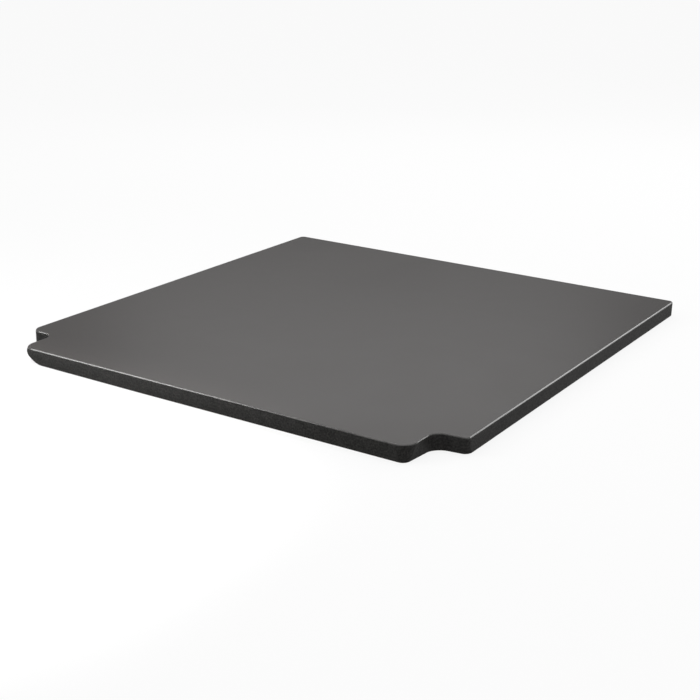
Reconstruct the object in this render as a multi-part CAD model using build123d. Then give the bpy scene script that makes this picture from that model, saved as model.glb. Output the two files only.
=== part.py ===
from build123d import *
import os

# Pizza stone for a grill: a pressed cordierite slab with both front corners cut out, glazed over
# its cooking face and round its walls, and left bare underneath.
# Millimetres. The origin is the middle of the underside. X runs along the notched front edge,
# Y from the front edge to the back, Z up.

# The glazed slab, outside sizes
WIDTH = 400.0  # between the side walls
DEPTH = 416.0  # front wall to back wall
THICKNESS = 13.0  # underside to cooking face
BACK_CORNER_RADIUS = 5.0
TOP_EDGE_RADIUS = 1.2
FOOT_EDGE_RADIUS = 1.2

# The corner notches, one at each end of the front edge. The stretch between them is the tongue.
NOTCH_WIDTH = 25.0  # along the front edge
NOTCH_DEPTH = 35.5  # back from the front edge
TONGUE_CORNER_RADIUS = 10.0  # where the front wall turns into the notch
NOTCH_ROOT_RADIUS = 13.0  # the notch's inner corner
SHOULDER_RADIUS = 4.5  # where the notch runs out into the side wall
LEFT_EASING_RADIUS = 9.5  # the round under the tongue's left corner, which the right one lacks

# The glaze
TOP_GLAZE = 0.5  # on the cooking face
EDGE_GLAZE = 0.3  # on the walls, where it drains thinner
BARE_FOOT = 0.4  # height of the strip wiped clean for the kiln shelf

OVERRUN = 5.0  # how far a cutting shape runs past what it cuts


def outline(inset):
    """Plan of the slab as a face, drawn in from the glazed outline by inset."""
    side = WIDTH / 2 - inset
    back = DEPTH / 2 - inset
    tongue = side - NOTCH_WIDTH
    shoulder = NOTCH_DEPTH - back
    right = [
        (tongue, -back, TONGUE_CORNER_RADIUS - inset),
        (tongue, shoulder, NOTCH_ROOT_RADIUS + inset),
        (side, shoulder, SHOULDER_RADIUS - inset),
        (side, back, BACK_CORNER_RADIUS - inset),
    ]
    corners = right + [(-x, y, radius) for x, y, radius in reversed(right)]
    points = [(x, y) for x, y, radius in corners]
    radii = [radius for x, y, radius in corners]
    return make_face(FilletPolyline(points, radius=radii, close=True))


def left_easing(inset):
    """Bar that lies across the tongue's left corner and leaves a round along its lower edge."""
    radius = LEFT_EASING_RADIUS - inset
    start = TONGUE_CORNER_RADIUS - LEFT_EASING_RADIUS
    centre = (
        NOTCH_WIDTH + TONGUE_CORNER_RADIUS - WIDTH / 2,
        TONGUE_CORNER_RADIUS - DEPTH / 2,
    )
    across = Plane(origin=centre, x_dir=(-1, -1, 0), z_dir=(-1, 1, 0))
    corner = Pos(start, radius) * Rectangle(
        radius + OVERRUN, radius + OVERRUN, align=(Align.MIN, Align.MAX)
    )
    section = corner - Pos(start, radius) * Circle(radius)
    return extrude(across * section, LEFT_EASING_RADIUS + TONGUE_CORNER_RADIUS, both=True)


def slab(inset, height):
    """Slab on the ground plane with rounded edges, its walls drawn in by inset."""
    blank = extrude(outline(inset), height)
    blank = fillet(blank.edges().group_by(Axis.Z)[-1], TOP_EDGE_RADIUS - inset)
    blank = fillet(blank.edges().group_by(Axis.Z)[0], FOOT_EDGE_RADIUS - inset)
    return blank - left_easing(inset)


def layer(coat, low, high):
    """The stretch of a coat between two heights."""
    above = split(coat, bisect_by=Plane.XY.offset(low), keep=Keep.TOP)
    return split(above, bisect_by=Plane.XY.offset(high), keep=Keep.BOTTOM)


cordierite_slab = slab(EDGE_GLAZE, THICKNESS - TOP_GLAZE)
coat = slab(0, THICKNESS) - cordierite_slab
glaze_line = THICKNESS - TOP_EDGE_RADIUS

nodes = {
    "cordierite_slab": cordierite_slab,
    "top_glaze": layer(coat, glaze_line, THICKNESS),
    "edge_glaze": layer(coat, BARE_FOOT, glaze_line),
}

os.makedirs("parts", exist_ok=True)
for name, solid in nodes.items():
    export_step(solid, f"parts/{name}.step")
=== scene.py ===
"""The looks of a notched, glazed cordierite pizza stone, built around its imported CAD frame.

Metres, in the frame's own axes: X runs along the notched front edge, Y from the front edge to the
back, Z up through the cooking face. The origin is the middle of the underside.
"""

from __future__ import annotations

import logging
import math
from dataclasses import dataclass, field
from enum import Enum

import bmesh
import bpy
from mathutils import Matrix, Vector, noise

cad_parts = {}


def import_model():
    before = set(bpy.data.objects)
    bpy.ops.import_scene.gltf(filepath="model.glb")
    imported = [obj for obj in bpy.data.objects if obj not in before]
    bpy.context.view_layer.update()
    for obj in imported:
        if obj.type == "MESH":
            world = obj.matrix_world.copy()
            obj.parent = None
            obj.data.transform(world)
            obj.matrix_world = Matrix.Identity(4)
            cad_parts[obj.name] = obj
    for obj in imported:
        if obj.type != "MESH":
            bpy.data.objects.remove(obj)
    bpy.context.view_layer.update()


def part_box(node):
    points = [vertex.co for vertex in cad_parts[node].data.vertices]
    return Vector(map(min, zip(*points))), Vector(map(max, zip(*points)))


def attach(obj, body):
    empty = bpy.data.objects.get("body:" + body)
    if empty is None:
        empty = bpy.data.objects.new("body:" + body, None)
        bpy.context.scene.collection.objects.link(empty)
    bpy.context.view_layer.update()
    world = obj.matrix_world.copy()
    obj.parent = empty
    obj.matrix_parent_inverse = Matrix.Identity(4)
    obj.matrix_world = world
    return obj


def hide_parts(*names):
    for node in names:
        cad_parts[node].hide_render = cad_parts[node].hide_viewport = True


MM = 0.001
CUBIC_CM = 1e-6
TINY = 1e-6  # heights and lengths closer than this are taken as equal
CREASE = math.radians(50)  # edges that turn by more than this are shaded sharp
CROWN = 0.1 * MM  # how far below the cooking face the edge's round ends, for the finishes
WHITE = (1.0, 1.0, 1.0, 1.0)
BODY = "root"

Colour = tuple[float, float, float]
Place = tuple[float, float, float]
log = logging.getLogger("pizza_stone")


class Slot(Enum):
    """The record's material slots."""

    CORDIERITE = "cordierite"
    SATIN_GLAZE = "satin_glaze"
    MATTE_GLAZE = "matte_glaze"


class CadNode(Enum):
    """The CAD nodes that the dressed pieces stand for."""

    SLAB = "cordierite_slab"
    TOP_GLAZE = "top_glaze"
    EDGE_GLAZE = "edge_glaze"


class Level(Enum):
    """The two faces that the outline is drawn on."""

    FACE = "face"
    FOOT = "foot"


class Side(Enum):
    """The side of a cut that is thrown away."""

    NEITHER = "neither"
    ABOVE = "above"
    BELOW = "below"


class Signal:
    """A number that varies over a surface. Arithmetic on it adds Math nodes."""

    def __init__(self, canvas: Canvas, socket: Socket) -> None:
        """Wraps the output of one node on a canvas."""
        self.canvas = canvas
        self.socket = socket

    def _math(self, operation: str, first: Number, second: Number) -> Signal:
        """Adds one Math node of an operation, such as ADD, and gives its result."""
        made = self.canvas.node("ShaderNodeMath", {"operation": operation}, {0: first, 1: second})
        return Signal(self.canvas, made.outputs[0])

    def __add__(self, other: Number) -> Signal:
        """Sum."""
        return self._math("ADD", self, other)

    def __radd__(self, other: Number) -> Signal:
        """Sum with the number on the left."""
        return self._math("ADD", other, self)

    def __sub__(self, other: Number) -> Signal:
        """Difference."""
        return self._math("SUBTRACT", self, other)

    def __rsub__(self, other: Number) -> Signal:
        """Difference with the number on the left."""
        return self._math("SUBTRACT", other, self)

    def __mul__(self, other: Number) -> Signal:
        """Product."""
        return self._math("MULTIPLY", self, other)

    def __rmul__(self, other: Number) -> Signal:
        """Product with the number on the left."""
        return self._math("MULTIPLY", other, self)


Number = Signal | float
Socket = bpy.types.NodeSocket


@dataclass(frozen=True)
class Cloud:
    """One drawing of soft noise."""

    size: float  # how far apart its patches lie, in metres
    detail: float  # how many finer layers lie on it
    seed: float


@dataclass(frozen=True)
class Scatter:
    """One scatter of round specks."""

    pitch: float  # the cell that may hold one speck, in metres
    radius: float  # a speck's, in metres
    share: float  # the share of the cells that hold one
    seed: float


class Canvas:
    """The node tree of one material or of the sky, and the few marks that are made on it."""

    MIX_FACTOR = 0
    MIX_FIRST = 6
    MIX_SECOND = 7
    MIX_RESULT = 2
    SPECK_CORE = 0.6  # the share of a speck's radius that is fully inked
    DRAW_BLUR = 0.01  # how softly the draw of a cell switches its speck on

    def __init__(self, tree: bpy.types.NodeTree, ending: str = "ShaderNodeOutputMaterial") -> None:
        """Starts from an empty tree.

        Args:
            tree: The tree to draw in.
            ending: The type of its last node.
        """
        tree.nodes.clear()
        self.tree = tree
        self.ending = ending

    def node(
        self,
        kind: str,
        settings: dict[str, object] | None = None,
        inputs: dict[str | int, object] | None = None,
    ) -> bpy.types.Node:
        """Adds any node.

        Args:
            kind: The node's type, such as ShaderNodeMath.
            settings: Its properties, which are set before its sockets.
            inputs: Values, signals or sockets for its inputs, by name or by place.

        Returns:
            The new node.
        """
        made = self.tree.nodes.new(kind)
        for name, value in (settings or {}).items():
            setattr(made, name, value)
        for name, value in (inputs or {}).items():
            source = value.socket if isinstance(value, Signal) else value
            if isinstance(source, Socket):
                self.tree.links.new(source, made.inputs[name])
            else:
                made.inputs[name].default_value = source
        return made

    def place(self) -> Socket:
        """Gives the place on the piece, in metres of its own axes."""
        return self.node("ShaderNodeTexCoord").outputs["Object"]

    def height(self) -> Signal:
        """Gives the height above the underside, in metres."""
        split = self.node("ShaderNodeSeparateXYZ", {}, {0: self.place()})
        return Signal(self, split.outputs["Z"])

    def cloud(self, drawn: Cloud) -> Signal:
        """Draws soft noise.

        Args:
            drawn: Which noise.

        Returns:
            A signal round 0.5.
        """
        settings = {"noise_dimensions": "4D"}
        inputs = {
            "Vector": self.place(),
            "W": drawn.seed,
            "Scale": 1.0 / drawn.size,
            "Detail": drawn.detail,
        }
        return Signal(self, self.node("ShaderNodeTexNoise", settings, inputs).outputs[0])

    def fade(self, signal: Signal, start: float, end: float) -> Signal:
        """Turns a signal into a mask.

        Args:
            signal: What is measured.
            start: Where the mask is 0.
            end: Where the mask is 1, above or below the start.

        Returns:
            A smooth step between the two, held at 0 and 1 beyond them.
        """
        low, high = min(start, end), max(start, end)
        settings = {"interpolation_type": "SMOOTHSTEP"}
        inputs = {"Value": signal, "From Min": low, "From Max": high}
        mask = Signal(self, self.node("ShaderNodeMapRange", settings, inputs).outputs[0])
        return mask if end > start else 1.0 - mask

    def specks(self, cast: Scatter) -> Signal:
        """Scatters round specks.

        Args:
            cast: Which scatter.

        Returns:
            A mask that is 1 on the specks.
        """
        settings = {"voronoi_dimensions": "4D"}
        inputs = {"Vector": self.place(), "W": cast.seed, "Scale": 1.0 / cast.pitch}
        cells = self.node("ShaderNodeTexVoronoi", settings, inputs)
        edge = cast.radius / cast.pitch
        spot = self.fade(Signal(self, cells.outputs["Distance"]), edge, self.SPECK_CORE * edge)
        draw = self.node("ShaderNodeSeparateColor", {}, {0: cells.outputs["Color"]})
        last, first = cast.share + self.DRAW_BLUR, cast.share - self.DRAW_BLUR
        return spot * self.fade(Signal(self, draw.outputs[0]), last, first)

    def mix(self, mask: Number, first: Socket | Colour, second: Socket | Colour) -> Socket:
        """Mixes two colours.

        Args:
            mask: 0 for the first colour and 1 for the second.
            first: A colour or a colour socket.
            second: A colour or a colour socket.

        Returns:
            The mixed colour.
        """
        inputs = {self.MIX_FACTOR: mask}
        for place, colour in ((self.MIX_FIRST, first), (self.MIX_SECOND, second)):
            inputs[place] = colour if isinstance(colour, Socket) else (*colour, 1.0)
        settings = {"data_type": "RGBA", "blend_type": "MIX"}
        return self.node("ShaderNodeMix", settings, inputs).outputs[self.MIX_RESULT]

    def relief(self, height: Signal) -> Socket:
        """Turns a height in metres into a normal."""
        inputs = {"Height": height, "Distance": 1.0, "Strength": 1.0}
        return self.node("ShaderNodeBump", {}, inputs).outputs["Normal"]

    def surface(self, shader: Socket) -> None:
        """Ends the tree on a shader."""
        self.node(self.ending, {}, {"Surface": shader})


@dataclass(frozen=True)
class GlazeFinish:
    """A fired black glaze: satin on the cooking face, dry and grainy on the walls."""

    slot: Slot
    rim_start: float  # the height where the satin glaze begins
    rim_end: float  # the height where the edge's round meets the cooking face
    face_dark: Colour = (0.0272, 0.0242, 0.0230)
    face_light: Colour = (0.0412, 0.0370, 0.0346)
    wall_dark: Colour = (0.0065, 0.0064, 0.0061)
    wall_light: Colour = (0.0285, 0.0276, 0.0262)
    # a lighter tone in patches on the edge's round: glaze worn thin there, and in part a painted
    # highlight along the edge
    worn_and_highlight: Colour = (0.11, 0.107, 0.10)
    face_roughness: float = 0.38
    wall_roughness: float = 0.6
    rim_roughness: float = 0.22
    rim_gloss: float = 0.75
    rim_gloss_roughness: float = 0.18
    rim_gloss_ior: float = 1.6
    rim_blur: float = 0.4 * MM  # the height over which the edge's gloss begins
    crown_blur: float = 0.09 * MM  # and over which it ends
    reflectance: float = 0.1
    flow: Cloud = Cloud(46 * MM, 3.0, 1.3)
    speckle: Cloud = Cloud(0.9 * MM, 2.0, 4.1)
    speckle_share: float = 0.4
    flow_roughness: float = 0.08
    speckle_roughness: float = 0.05
    grain: Cloud = Cloud(1.3 * MM, 5.0, 2.7)
    lumps: Cloud = Cloud(5.5 * MM, 3.0, 8.6)
    lump_share: float = 0.2
    tooth_start: float = 0.32
    tooth_end: float = 0.68
    grain_height: float = 0.15 * MM
    peel: Cloud = Cloud(2.4 * MM, 1.0, 5.2)
    peel_height: float = 0.006 * MM
    # the patches of that lighter tone on the edge's round, partly wear and partly painted highlight
    rub_and_highlight: Cloud = Cloud(9 * MM, 3.0, 6.4)
    rub_and_highlight_start: float = 0.45
    rub_and_highlight_end: float = 0.7
    wear_and_highlight_share: float = 0.35

    def material(self) -> bpy.types.Material:
        """Paints the glaze.

        Returns:
            The material for one coat.
        """
        made = bpy.data.materials.new(self.slot.value)
        made.use_nodes = True
        canvas = Canvas(made.node_tree)
        height = canvas.height()
        rim = canvas.fade(height, self.rim_start, self.rim_end)
        edge_band = canvas.fade(height, self.rim_start, self.rim_start + self.rim_blur)
        edge_band = edge_band * canvas.fade(height, self.rim_end + self.crown_blur, self.rim_end)

        flow = canvas.cloud(self.flow)
        speckle = canvas.cloud(self.speckle)
        tint = (1.0 - self.speckle_share) * flow + self.speckle_share * speckle
        face = canvas.mix(tint, self.face_dark, self.face_light)

        grain = canvas.cloud(self.grain)
        lumps = canvas.cloud(self.lumps)
        bite = (1.0 - self.lump_share) * grain + self.lump_share * lumps
        tooth = canvas.fade(bite, self.tooth_start, self.tooth_end)
        wall = canvas.mix(tooth, self.wall_dark, self.wall_light)

        # Lighter patches on the edge's round: worn glaze, and in part a painted highlight along the
        # edge.
        rub_and_highlight = canvas.fade(canvas.cloud(self.rub_and_highlight), self.rub_and_highlight_start, self.rub_and_highlight_end)
        colour = canvas.mix(rim, wall, face)
        colour = canvas.mix(edge_band * rub_and_highlight * self.wear_and_highlight_share, colour, self.worn_and_highlight)

        rough = self.wall_roughness + rim * (self.face_roughness - self.wall_roughness)
        rough = rough + (flow - 0.5) * self.flow_roughness + (speckle - 0.5) * self.speckle_roughness
        rough = rough + edge_band * (self.rim_roughness - rough)

        peel = canvas.cloud(self.peel) * self.peel_height
        rise = peel * rim + (1.0 - rim) * (grain + lumps) * self.grain_height
        inputs = {
            "Base Color": colour,
            "Roughness": rough,
            "Specular IOR Level": self.reflectance,
            "Coat Weight": edge_band * self.rim_gloss,
            "Coat Roughness": self.rim_gloss_roughness,
            "Coat IOR": self.rim_gloss_ior,
            "Normal": canvas.relief(rise),
        }
        canvas.surface(canvas.node("ShaderNodeBsdfPrincipled", {}, inputs).outputs[0])
        return made


@dataclass(frozen=True)
class CordieriteFinish:
    """Bare pressed cordierite: warm buff, speckled with grog and iron."""

    slot: Slot = Slot.CORDIERITE
    body_dark: Colour = (0.40, 0.335, 0.26)
    body_light: Colour = (0.54, 0.47, 0.375)
    grog: Colour = (0.66, 0.61, 0.52)
    iron: Colour = (0.12, 0.085, 0.06)
    flow: Cloud = Cloud(38 * MM, 4.0, 3.1)
    grain: Cloud = Cloud(0.7 * MM, 3.0, 9.4)
    grain_share: float = 0.45
    grain_height: float = 0.06 * MM
    grain_roughness: float = 0.1
    pale_specks: Scatter = Scatter(3.4 * MM, 0.9 * MM, 0.3, 1.9)
    pale_ink: float = 0.55
    dark_specks: Scatter = Scatter(4.2 * MM, 0.42 * MM, 0.22, 7.7)
    dark_ink: float = 0.8
    pits: Scatter = Scatter(5.0 * MM, 0.5 * MM, 0.16, 12.5)
    pit_depth: float = 0.25 * MM
    roughness: float = 0.88
    reflectance: float = 0.3

    def material(self) -> bpy.types.Material:
        """Paints the bare stone.

        Returns:
            The material for the slab.
        """
        made = bpy.data.materials.new(self.slot.value)
        made.use_nodes = True
        canvas = Canvas(made.node_tree)
        grain = canvas.cloud(self.grain)
        tint = (1.0 - self.grain_share) * canvas.cloud(self.flow) + self.grain_share * grain
        colour = canvas.mix(tint, self.body_dark, self.body_light)
        colour = canvas.mix(canvas.specks(self.pale_specks) * self.pale_ink, colour, self.grog)
        colour = canvas.mix(canvas.specks(self.dark_specks) * self.dark_ink, colour, self.iron)
        rise = grain * self.grain_height - canvas.specks(self.pits) * self.pit_depth
        inputs = {
            "Base Color": colour,
            "Roughness": self.roughness + (grain - 0.5) * self.grain_roughness,
            "Specular IOR Level": self.reflectance,
            "Normal": canvas.relief(rise),
        }
        canvas.surface(canvas.node("ShaderNodeBsdfPrincipled", {}, inputs).outputs[0])
        return made


Finish = GlazeFinish | CordieriteFinish


@dataclass(frozen=True)
class EndPlan:
    """One end of the stone in plan, on one face: its notch and its corners, in metres."""

    width_at_tip: float
    width_at_root: float
    depth_at_root: float
    depth_at_side: float
    tongue_corner: float
    notch_root: float
    shoulder: float
    back_corner: float


def millimetres(**sizes: float) -> EndPlan:
    """Makes an end's plan from its fields in millimetres."""
    return EndPlan(**{name: size * MM for name, size in sizes.items()})


@dataclass(frozen=True)
class StoneForm:
    """The pressed form that the slab and its coats share, in metres."""

    high: Vector  # the far top corner of its box, whose origin is the middle of the underside
    right_face: EndPlan = millimetres(
        width_at_tip=24.2,
        width_at_root=24.2,
        depth_at_root=33.3,
        depth_at_side=35.9,
        tongue_corner=12.5,
        notch_root=8.0,
        shoulder=2.2,
        back_corner=4.2,
    )
    right_foot: EndPlan = millimetres(
        width_at_tip=26.9,
        width_at_root=23.9,
        depth_at_root=33.6,
        depth_at_side=36.8,
        tongue_corner=5.6,
        notch_root=8.8,
        shoulder=5.5,
        back_corner=4.8,
    )
    left_face: EndPlan = millimetres(
        width_at_tip=25.2,
        width_at_root=25.2,
        depth_at_root=34.1,
        depth_at_side=34.1,
        tongue_corner=11.0,
        notch_root=9.0,
        shoulder=9.2,
        back_corner=4.6,
    )
    left_foot: EndPlan = millimetres(
        width_at_tip=24.4,
        width_at_root=24.8,
        depth_at_root=34.6,
        depth_at_side=34.6,
        tongue_corner=4.0,
        notch_root=10.0,
        shoulder=8.2,
        back_corner=5.0,
    )
    top_edge: float = 1.2 * MM
    foot_edge: float = 1.2 * MM
    foot_swell: float = 1.6 * MM
    foot_swell_length: float = 120.0 * MM
    easing_reach: float = 12.6 * MM
    easing_height: float = 11.3 * MM
    easing_setback: float = 15.5 * MM  # from the sharp corner to the foot of the easing
    easing_power: float = 1.62  # 2 is an ellipse, and less is flatter
    easing_softness: float = 0.8 * MM
    arc_steps: int = 16
    edge_steps: int = 8
    pitch: float = 5.0 * MM
    row: float = 1.0 * MM
    tip_pitch: float = 1.5 * MM
    tip_rows: float = 1.5  # how far the close rows at the eased tip run, in setbacks
    weld: float = 0.02 * MM

    def ends(self, level: Level) -> tuple[EndPlan, EndPlan]:
        """Gives both ends' plans on one face.

        Args:
            level: The face.

        Returns:
            The right end's plan and the left end's.
        """
        if level is Level.FACE:
            return self.right_face, self.left_face
        return self.right_foot, self.left_foot

    def corners(self, level: Level, inset: float) -> list[tuple[Vector, float]]:
        """Lists the plan's corners, counter-clockwise from the tongue's right one.

        Args:
            level: The face that the plan is drawn on.
            inset: How far the walls are drawn in.

        Returns:
            Each corner's place and radius.
        """
        side = self.high.x - inset
        back = self.high.y - inset
        runs = []
        for sign, end in zip((1, -1), self.ends(level)):
            tip = side - end.width_at_tip
            root = side - end.width_at_root
            run = [
                (Vector((sign * tip, -back, 0)), end.tongue_corner - inset),
                (Vector((sign * root, end.depth_at_root - back, 0)), end.notch_root + inset),
                (Vector((sign * side, end.depth_at_side - back, 0)), end.shoulder - inset),
                (Vector((sign * side, back, 0)), end.back_corner - inset),
            ]
            runs += run[::sign]
        return runs

    def faces_at(self, bm: bmesh.types.BMesh, height: float) -> list[bmesh.types.BMFace]:
        """Finds the flat faces at a height."""
        return [f for f in bm.faces if all(abs(v.co.z - height) < TINY for v in f.verts)]

    def draw_outline(
        self, bm: bmesh.types.BMesh, inset: float, height: float, level: Level
    ) -> list[bmesh.types.BMEdge]:
        """Draws the rounded plan as one face.

        Args:
            bm: The mesh to draw in.
            inset: How far the walls are drawn in.
            height: Where the face lies.
            level: Whose radii it takes.

        Returns:
            The face's edges.
        """
        corners = self.corners(level, inset)
        verts = [bm.verts.new((spot.x, spot.y, height)) for spot, _ in corners]
        bm.faces.new(verts)
        for vert, (_, radius) in zip(verts, corners):
            bmesh.ops.bevel(
                bm,
                geom=[vert],
                offset=radius,
                offset_type="OFFSET",
                affect="VERTICES",
                segments=self.arc_steps,
                profile=0.5,
                material=-1,
            )
        return list(self.faces_at(bm, height)[0].edges)

    def cut(
        self, bm: bmesh.types.BMesh, spot: Vector, normal: Vector, drop: Side = Side.NEITHER
    ) -> None:
        """Cuts the whole mesh with a plane.

        Args:
            bm: The mesh.
            spot: A point on the plane.
            normal: The plane's normal, which points to the side above it.
            drop: The side that is deleted.
        """
        bmesh.ops.bisect_plane(
            bm,
            geom=bm.verts[:] + bm.edges[:] + bm.faces[:],
            dist=TINY,
            plane_co=spot,
            plane_no=normal,
            clear_outer=drop is Side.ABOVE,
            clear_inner=drop is Side.BELOW,
        )

    def block(self, inset: float, top: float) -> bmesh.types.BMesh:
        """Builds the whole stone, drawn in by an inset, as one closed mesh.

        Args:
            inset: How far the walls are drawn in.
            top: The height of its upper face.

        Returns:
            The mesh, with its edges rounded and its faces cut into even rows.
        """
        bm = bmesh.new()
        edges = self.draw_outline(bm, inset, top, Level.FACE)
        edges += self.draw_outline(bm, inset, 0.0, Level.FOOT)
        bmesh.ops.bridge_loops(bm, edges=edges)
        bmesh.ops.recalc_face_normals(bm, faces=bm.faces[:])
        for height, radius in ((top, self.top_edge), (0.0, self.foot_edge)):
            bmesh.ops.bevel(
                bm,
                geom=list(self.faces_at(bm, height)[0].edges),
                offset=radius - inset,
                offset_type="OFFSET",
                affect="EDGES",
                segments=self.edge_steps,
                profile=0.5,
                material=-1,
            )
        self.cut_rows(bm, top)
        return bm

    def cut_rows(self, bm: bmesh.types.BMesh, top: float) -> None:
        """Cuts the straight stretches and the walls into even rows.

        Args:
            bm: The whole stone.
            top: The height of its upper face.
        """
        plan = self.right_face
        reach = self.high.x - plan.width_at_tip - plan.tongue_corner - self.pitch
        front = plan.depth_at_side - self.high.y + plan.notch_root
        back = self.high.y - plan.back_corner - self.pitch
        low = self.foot_edge + self.row
        high = top - self.top_edge - self.row
        tip = self.tip_corner()
        bend = self.tip_rows * self.easing_setback
        along, across, up = Vector((1, 0, 0)), Vector((0, 1, 0)), Vector((0, 0, 1))
        rows = (
            (along, -reach, reach, self.pitch),
            (across, front, back, self.pitch),
            (up, low, high, self.row),
            (along, tip.x + self.tip_pitch, tip.x + bend, self.tip_pitch),
            (across, tip.y + self.tip_pitch, tip.y + bend, self.tip_pitch),
        )
        for axis, start, end, pitch in rows:
            steps = round((end - start) / pitch)
            for step in range(steps + 1):
                self.cut(bm, axis * (start + (end - start) * step / steps), axis)
        self.clean(bm)

    def clean(self, bm: bmesh.types.BMesh) -> None:
        """Merges points that meet, drops faces without width and turns the rest outward.

        Args:
            bm: The mesh.
        """
        bmesh.ops.remove_doubles(bm, verts=bm.verts[:], dist=self.weld)
        bmesh.ops.dissolve_degenerate(bm, edges=bm.edges[:], dist=self.weld)
        bmesh.ops.recalc_face_normals(bm, faces=bm.faces[:])

    def open_underside(self, bm: bmesh.types.BMesh) -> None:
        """Takes the flat underside off, so that its edge can be drawn in freely."""
        bmesh.ops.delete(bm, geom=self.faces_at(bm, 0.0), context="FACES")

    def close_underside(self, bm: bmesh.types.BMesh) -> None:
        """Closes the underside with one flat face.

        Args:
            bm: The whole stone without its underside.
        """
        bmesh.ops.remove_doubles(bm, verts=bm.verts[:], dist=self.weld)
        edges = [edge for edge in bm.edges if edge.is_boundary]
        bmesh.ops.holes_fill(bm, edges=edges, sides=0)
        bmesh.ops.recalc_face_normals(bm, faces=bm.faces[:])

    def tip_corner(self) -> Vector:
        """Gives the sharp corner that the tongue's left end is rounded from."""
        return Vector((self.left_face.width_at_tip - self.high.x, -self.high.y, 0))

    def ease_left_tip(self, bm: bmesh.types.BMesh, inset: float) -> None:
        """Rounds the underside of the tongue's left corner, which the right corner lacks.

        Args:
            bm: A mesh drawn in by the inset.
            inset: How far its walls are drawn in.
        """
        out = Vector((-1, -1, 0)).normalized()
        middle = self.tip_corner() - out * self.easing_setback
        left = self.left_face
        clear = left.depth_at_root - self.high.y - left.notch_root / 2
        soft = self.easing_softness
        for vert in bm.verts:
            if vert.co.x > 0 or vert.co.y > clear:
                continue
            over = (vert.co - middle).dot(out) - self.easing_limit(vert.co.z, inset)
            if over > soft:
                vert.co -= out * over
            elif over > -soft:
                vert.co -= out * (over + soft) ** 2 / (4 * soft)

    def easing_limit(self, height: float, inset: float) -> float:
        """Gives how far out the eased corner reaches at a height.

        Args:
            height: Height above the underside.
            inset: How far the wall is drawn in.

        Returns:
            The reach from the easing's foot, along the corner's diagonal.
        """
        if height > self.easing_height:
            return self.easing_reach - inset + height - self.easing_height
        depth = 1 - height / self.easing_height
        lowered = min(1.0, depth * (1 + inset / self.easing_height))
        power = self.easing_power
        return self.easing_reach * (1 - lowered**power) ** (1 / power) - inset * (1 - depth)

    def swell_foot(self, bm: bmesh.types.BMesh, inset: float) -> None:
        """Widens the round under the front wall towards its left end.

        Args:
            bm: A mesh drawn in by the inset.
            inset: How far its walls are drawn in.
        """
        start = self.tip_corner().x
        wall = inset - self.high.y
        for vert in bm.verts:
            share = min(1.0, (start + self.foot_swell_length - vert.co.x) / self.foot_swell_length)
            radius = self.foot_edge + self.foot_swell * share - inset
            drop = radius - vert.co.z
            if share > 0 and drop > 0 and vert.co.y < wall + radius:
                round_in = wall + radius - math.sqrt(max(0.0, radius**2 - drop**2))
                vert.co.y = max(vert.co.y, round_in)


@dataclass
class CordieriteSlab:
    """The pressed slab, bare wherever the coats leave it."""

    form: StoneForm
    inset: float
    top: float
    finish: CordieriteFinish = field(default_factory=CordieriteFinish)

    def build(self) -> bpy.types.Object:
        """Makes the slab.

        Returns:
            The dressed piece.
        """
        bm = self.form.block(self.inset, self.top)
        self.form.open_underside(bm)
        self.form.swell_foot(bm, self.inset)
        self.form.ease_left_tip(bm, self.inset)
        self.form.close_underside(bm)
        return finish_piece(bm, "bare_slab", CadNode.SLAB, self.finish)


@dataclass
class GlazeCoat:
    """One fired coat: a skin over a stretch of the stone's height."""

    form: StoneForm
    name: str
    node: CadNode
    low: float
    high: float
    thickness: float
    finish: GlazeFinish
    wander: float = 0.05 * MM  # how far the skin swells and thins
    wander_length: float = 16 * MM
    foot_wander: float = 0.12 * MM  # how far the lower line rises and falls

    def build(self) -> bpy.types.Object:
        """Makes the coat.

        Returns:
            The dressed piece.
        """
        form = self.form
        bm = form.block(0.0, form.high.z)
        up = Vector((0, 0, 1))
        if self.low > 0:
            form.cut(bm, up * self.low, up, Side.BELOW)
        if self.high < form.high.z - TINY:
            form.cut(bm, up * self.high, up, Side.ABOVE)
        form.clean(bm)
        self.let_it_flow(bm)
        form.swell_foot(bm, 0.0)
        form.ease_left_tip(bm, 0.0)
        form.clean(bm)
        bmesh.ops.solidify(bm, geom=bm.faces[:], thickness=self.thickness)
        return finish_piece(bm, self.name, self.node, self.finish)

    def let_it_flow(self, bm: bmesh.types.BMesh) -> None:
        """Lets the glaze swell and thin a little along the walls, and its lower line wander.

        Args:
            bm: The coat's outer skin.
        """
        for vert in bm.verts:
            out = Vector((vert.normal.x, vert.normal.y, 0))
            if out.length < TINY:
                continue
            drift = noise.noise(vert.co / self.wander_length)
            vert.co -= out * (0.5 + 0.5 * drift) * self.wander
            if self.low < self.form.foot_edge and abs(vert.co.z - self.low) < TINY:
                start = self.undercut(vert.co.z)
                vert.co.z += drift * self.foot_wander
                vert.co += out.normalized() * (start - self.undercut(vert.co.z))

    def undercut(self, height: float) -> float:
        """Gives how far the foot's round lies behind the wall at a height."""
        radius = self.form.foot_edge
        return radius - math.sqrt(radius**2 - (radius - height) ** 2)


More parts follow.
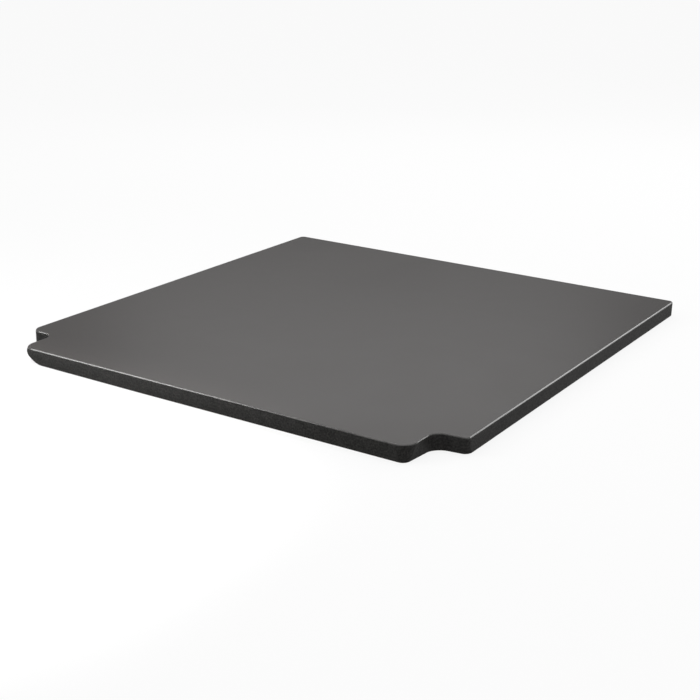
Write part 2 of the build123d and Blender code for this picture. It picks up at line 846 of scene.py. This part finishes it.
def finish_piece(
    bm: bmesh.types.BMesh, name: str, node: CadNode, finish: Finish
) -> bpy.types.Object:
    """Turns a closed mesh into a shaded piece that stands for a CAD node.

    Args:
        bm: The mesh, which is freed.
        name: The piece's name.
        node: The CAD node that it stands for.
        finish: What it is painted with.

    Returns:
        The new object, riding on the stone's one body.
    """
    for face in bm.faces:
        face.smooth = True
    for edge in bm.edges:
        edge.smooth = len(edge.link_faces) == 2 and edge.calc_face_angle(0.0) < CREASE
    open_edges = sum(1 for edge in bm.edges if len(edge.link_faces) != 2)
    volume = bm.calc_volume(signed=True) / CUBIC_CM
    mesh = bpy.data.meshes.new(name)
    bm.to_mesh(mesh)
    bm.free()
    mesh.materials.append(finish.material())
    piece = bpy.data.objects.new(name, mesh)
    bpy.context.scene.collection.objects.link(piece)
    shading = piece.modifiers.new("even_shading", "WEIGHTED_NORMAL")
    shading.keep_sharp = True
    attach(piece, BODY)
    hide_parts(node.value)
    log.info("%s: %d open edges, %.2f cm3", name, open_edges, volume)
    return piece


@dataclass(frozen=True)
class Softbox:
    """A rectangular studio light, in metres."""

    name: str
    spot: Place
    target: Place
    width: float
    height: float
    brightness: float  # how bright its face looks at full spread, where 1 is white
    turn: float = 0.0  # about its own axis, in degrees
    spread: float = 180.0  # how wide its light opens, in degrees

    def hang(self) -> None:
        """Hangs the light, facing its target."""
        data = bpy.data.lights.new(self.name, "AREA")
        data.shape = "RECTANGLE"
        data.size = self.width
        data.size_y = self.height
        data.energy = self.brightness * math.pi * self.width * self.height
        data.spread = math.radians(self.spread)
        lamp = bpy.data.objects.new(self.name, data)
        look = Vector(self.target) - Vector(self.spot)
        facing = look.to_track_quat("-Z", "Y").to_matrix().to_4x4()
        spin = Matrix.Rotation(math.radians(self.turn), 4, "Z")
        lamp.matrix_world = Matrix.Translation(self.spot) @ facing @ spin
        bpy.context.scene.collection.objects.link(lamp)


@dataclass(frozen=True)
class Studio:
    """A pale floor under a soft sky, the softboxes and the camera."""

    floor_size: float = 16.0
    floor_colour: Colour = (0.86, 0.86, 0.86)
    floor_glow: float = 0.85  # the share of plain white in what the camera sees of the floor
    floor_drop: float = 0.02 * MM
    sky_low: float = 0.14
    sky_high: float = 0.98
    sky_from: float = 0.25  # a height in the sky is the sine of its angle
    sky_to: float = 0.75
    haze_from: float = 0.12
    haze_to: float = 0.04
    sensor_width: float = 36.0  # in millimetres, like the lens
    lens: float = 68.942
    aim: Place = (38.95 * MM, -68.006 * MM, 13.0 * MM)
    camera_distance: float = 1044.67 * MM
    camera_azimuth: float = 32.871  # in degrees, from a view square to the front edge
    camera_pitch: float = 18.94
    camera_roll: float = 0.772
    softboxes: tuple[Softbox, ...] = (
        Softbox(
            "left_front_box",
            spot=(-0.60, -0.60, 0.45),
            target=(-0.17, -0.21, 0.0),
            width=0.40,
            height=0.35,
            brightness=1.17,
            spread=64.0,
        ),
        # This one lights only the floor, which throws its light on the left of the front wall.
        Softbox(
            "left_floor_box",
            spot=(-0.15, -0.37, 0.35),
            target=(-0.15, -0.40, 0.0),
            width=0.40,
            height=0.2,
            brightness=11.2,
            spread=50.0,
        ),
        Softbox(
            "back_right_box",
            spot=(0.70, 1.14, 0.50),
            target=(0.20, 0.0, 0.0),
            width=1.0,
            height=0.5,
            brightness=2.8,
            turn=28.0,
        ),
        Softbox(
            "back_left_box",
            spot=(-0.50, 0.80, 0.60),
            target=(0.15, -0.19, 0.0),
            width=0.8,
            height=0.4,
            brightness=1.15,
        ),
        Softbox(
            "overhead_box",
            spot=(0.0, 0.0, 1.6),
            target=(0.0, 0.0, 0.0),
            width=1.5,
            height=1.5,
            brightness=0.3,
        ),
    )

    def build(self) -> None:
        """Sets up everything that isn't the stone."""
        self.lay_floor()
        self.light_sky()
        for box in self.softboxes:
            box.hang()
        self.place_camera()

    def lay_floor(self) -> None:
        """Lays the floor just under the stone."""
        bm = bmesh.new()
        bmesh.ops.create_grid(bm, x_segments=2, y_segments=2, size=self.floor_size / 2)
        bmesh.ops.translate(bm, verts=bm.verts[:], vec=(0, 0, -self.floor_drop))
        mesh = bpy.data.meshes.new("floor")
        bm.to_mesh(mesh)
        bm.free()
        floor = bpy.data.objects.new("floor", mesh)
        bpy.context.scene.collection.objects.link(floor)
        paper = bpy.data.materials.new("pale_paper")
        paper.use_nodes = True
        canvas = Canvas(paper.node_tree)
        lit = canvas.node("ShaderNodeBsdfDiffuse", {}, {"Color": (*self.floor_colour, 1.0)})
        glow = canvas.node("ShaderNodeEmission", {}, {"Color": WHITE, "Strength": 1.0})
        rays = canvas.node("ShaderNodeLightPath")
        camera, glossy, through = (
            Signal(canvas, rays.outputs[kind])
            for kind in ("Is Camera Ray", "Is Glossy Ray", "Is Transmission Ray")
        )
        seen = camera + glossy + through
        both = {0: seen * self.floor_glow, 1: lit.outputs[0], 2: glow.outputs[0]}
        canvas.surface(canvas.node("ShaderNodeMixShader", {}, both).outputs[0])
        mesh.materials.append(paper)

    def light_sky(self) -> None:
        """Lights an even dome that dims downwards and ends in a white haze along the horizon."""
        sky = bpy.data.worlds.new("soft_sky")
        bpy.context.scene.world = sky
        sky.use_nodes = True
        canvas = Canvas(sky.node_tree, "ShaderNodeOutputWorld")
        spot = canvas.node("ShaderNodeTexCoord").outputs["Generated"]
        up = Signal(canvas, canvas.node("ShaderNodeSeparateXYZ", {}, {0: spot}).outputs["Z"])
        dome = canvas.fade(up, self.sky_from, self.sky_to) * (self.sky_high - self.sky_low)
        haze = canvas.fade(up, self.haze_from, self.haze_to) * (1.0 - self.sky_low)
        inputs = {"Color": WHITE, "Strength": dome + haze + self.sky_low}
        light = canvas.node("ShaderNodeBackground", {}, inputs)
        canvas.surface(light.outputs[0])

    def place_camera(self) -> None:
        """Sets the camera at the photograph's angle."""
        data = bpy.data.cameras.new("camera")
        data.sensor_width = self.sensor_width
        data.lens = self.lens
        camera = bpy.data.objects.new("camera", data)
        turn = (
            Matrix.Rotation(math.radians(self.camera_azimuth), 4, "Z")
            @ Matrix.Rotation(math.radians(90 - self.camera_pitch), 4, "X")
            @ Matrix.Rotation(math.radians(self.camera_roll), 4, "Z")
        )
        back = turn.to_3x3() @ Vector((0, 0, 1))
        spot = Vector(self.aim) + back * self.camera_distance
        camera.matrix_world = Matrix.Translation(spot) @ turn
        bpy.context.scene.collection.objects.link(camera)
        bpy.context.scene.camera = camera


def main() -> None:
    """Loads the frame, builds the slab and its coats, and sets up the studio."""
    logging.basicConfig(level=logging.INFO, format="%(name)s %(message)s")
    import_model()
    bpy.context.scene.view_settings.view_transform = "Standard"

    face_low, face_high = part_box(CadNode.TOP_GLAZE.value)
    edge_low, edge_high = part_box(CadNode.EDGE_GLAZE.value)
    slab_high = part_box(CadNode.SLAB.value)[1]
    wall_skin = face_high.x - slab_high.x
    face_skin = face_high.z - slab_high.z
    crown = face_high.z - CROWN

    form = StoneForm(face_high)
    satin = GlazeFinish(Slot.SATIN_GLAZE, face_low.z, crown, reflectance=0.5)
    matte = GlazeFinish(Slot.MATTE_GLAZE, face_low.z, crown)
    pieces = (
        CordieriteSlab(form, wall_skin, slab_high.z),
        GlazeCoat(form, "face_coat", CadNode.TOP_GLAZE, face_low.z, face_high.z, face_skin, satin),
        GlazeCoat(form, "wall_coat", CadNode.EDGE_GLAZE, edge_low.z, edge_high.z, wall_skin, matte),
    )
    for piece in pieces:
        made = piece.build()
        log.info("%s: %d faces", made.name, len(made.data.polygons))
    Studio().build()


if __name__ == "__main__":
    main()
